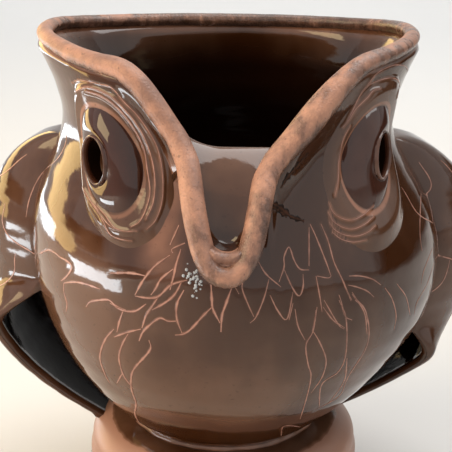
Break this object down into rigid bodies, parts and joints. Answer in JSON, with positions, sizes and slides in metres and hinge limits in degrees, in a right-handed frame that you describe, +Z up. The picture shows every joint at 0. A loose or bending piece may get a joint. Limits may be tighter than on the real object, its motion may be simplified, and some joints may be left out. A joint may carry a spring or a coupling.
{
  "type": "zoomorphic pitcher",
  "caption": "Stoneware pitcher shaped as an owl, with a rolled lip drooping into a beak spout, bored domed eyes, side wings as grips and a round pedestal foot.",
  "frame": {"origin": "centre of the flat underside of the pedestal", "axes": "+Z up, the owl's face and beak look along -Y, and +X is to the viewer's right of the face"},
  "size_m": [0.1769, 0.1514, 0.1744],
  "materials": {
    "glaze": "very dark brown gloss glaze that breaks to rust on edges",
    "lip_clay": "copper-tan, mottled, nearly matt",
    "eye_glaze": "thick red-brown gloss glaze"
  },
  "bodies": {
    "root": {"foot": "glaze", "waist_coil": "glaze", "body": "glaze", "lip_roll": "lip_clay", "beak": "glaze", "eye_collar_left": "glaze", "eye_dome_left": "eye_glaze", "eye_collar_right": "glaze", "eye_dome_right": "eye_glaze", "wing_left": "glaze", "wing_right": "glaze"}
  },
  "joints": []
}
